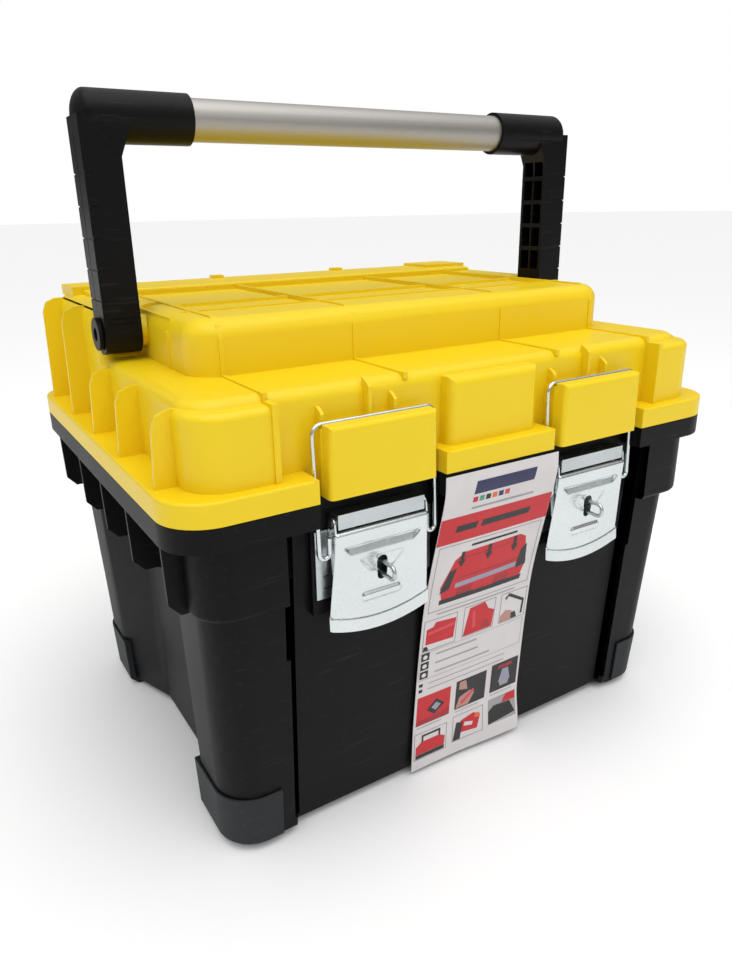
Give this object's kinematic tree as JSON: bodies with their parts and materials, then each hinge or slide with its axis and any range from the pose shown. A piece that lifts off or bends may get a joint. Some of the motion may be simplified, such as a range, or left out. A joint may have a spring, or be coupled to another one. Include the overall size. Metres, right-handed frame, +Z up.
{
  "type": "toolbox",
  "caption": "Moulded toolbox with a hinged stepped lid, folding tube handle, two draw latches with padlock loops, corner feet and a lift-out tray.",
  "frame": {"origin": "centre of the overall box at rest, on the surface under the feet", "axes": "+Z up, +X to the right seen from the front, -Y out of the front with the latches"},
  "size_m": [0.45, 0.3696, 0.484],
  "materials": {
    "black_polypropylene": "fine moulded grain",
    "yellow_polypropylene": "moulded satin",
    "slate_polypropylene": "moulded matt",
    "tray_polypropylene": "moulded matt",
    "black_nylon": "moulded satin",
    "satin_aluminium": "drawn and anodised",
    "black_oxide_steel": "black oxide",
    "zinc_steel": "bright zinc plate",
    "nickel_steel": "pressed and nickel plated",
    "printed_card": "coated printed card"
  },
  "bodies": {
    "base": {"tub": "black_polypropylene", "foot_front_left": "slate_polypropylene", "foot_front_right": "slate_polypropylene", "foot_rear_left": "slate_polypropylene", "foot_rear_right": "slate_polypropylene", "latch_plate_left": "zinc_steel", "latch_plate_right": "zinc_steel", "latch_rivets": "zinc_steel", "latch_pin_left": "zinc_steel", "latch_pin_right": "zinc_steel", "padlock_staple_left": "zinc_steel", "padlock_staple_right": "zinc_steel", "hinge_pin_left": "zinc_steel", "hinge_pin_right": "zinc_steel", "label_card": "printed_card"},
    "lid": {"lid": "yellow_polypropylene", "pivot_bolt_left": "black_oxide_steel", "pivot_bolt_right": "black_oxide_steel"},
    "handle": {"handle_tube": "satin_aluminium", "handle_arm_left": "black_nylon", "handle_arm_right": "black_nylon"},
    "lever_left": {"latch_lever_left": "nickel_steel"},
    "lever_right": {"latch_lever_right": "nickel_steel"},
    "bail_left": {"latch_bail_left": "nickel_steel"},
    "bail_right": {"latch_bail_right": "nickel_steel"},
    "tray": {"tray": "tray_polypropylene", "tray_divider_left": "tray_polypropylene", "tray_divider_right": "tray_polypropylene"},
    "tray_handle": {"tray_handle": "yellow_polypropylene"}
  },
  "joints": [
    {"name": "lid_hinge", "type": "hinge", "parent": "base", "child": "lid", "pos_m": [0, 0.178, 0.252], "axis": [-1, 0, 0], "range_deg": [0, 100]},
    {"name": "handle_fold", "type": "hinge", "parent": "lid", "child": "handle", "pos_m": [0, 0.003, 0.334], "axis": [1, 0, 0], "range_deg": [0, 90]},
    {"name": "lever_left_swing", "type": "hinge", "parent": "base", "child": "lever_left", "pos_m": [-0.0922, -0.1654, 0.234], "axis": [-1, 0, 0], "range_deg": [0, 120]},
    {"name": "bail_left_swing", "type": "hinge", "parent": "lid", "child": "bail_left", "pos_m": [-0.0922, -0.1633, 0.2956], "axis": [-1, 0, 0], "range_deg": [0, 100]},
    {"name": "lever_right_swing", "type": "hinge", "parent": "base", "child": "lever_right", "pos_m": [0.0922, -0.1654, 0.234], "axis": [-1, 0, 0], "range_deg": [0, 120]},
    {"name": "bail_right_swing", "type": "hinge", "parent": "lid", "child": "bail_right", "pos_m": [0.0922, -0.1633, 0.2956], "axis": [-1, 0, 0], "range_deg": [0, 100]},
    {"name": "tray_lift", "type": "slide", "parent": "base", "child": "tray", "axis": [0, 0, 1], "range_m": [0, 0.04]},
    {"name": "tray_handle_fold", "type": "hinge", "parent": "tray", "child": "tray_handle", "pos_m": [0, 0, 0.234], "axis": [-1, 0, 0], "range_deg": [0, 90]}
  ]
}
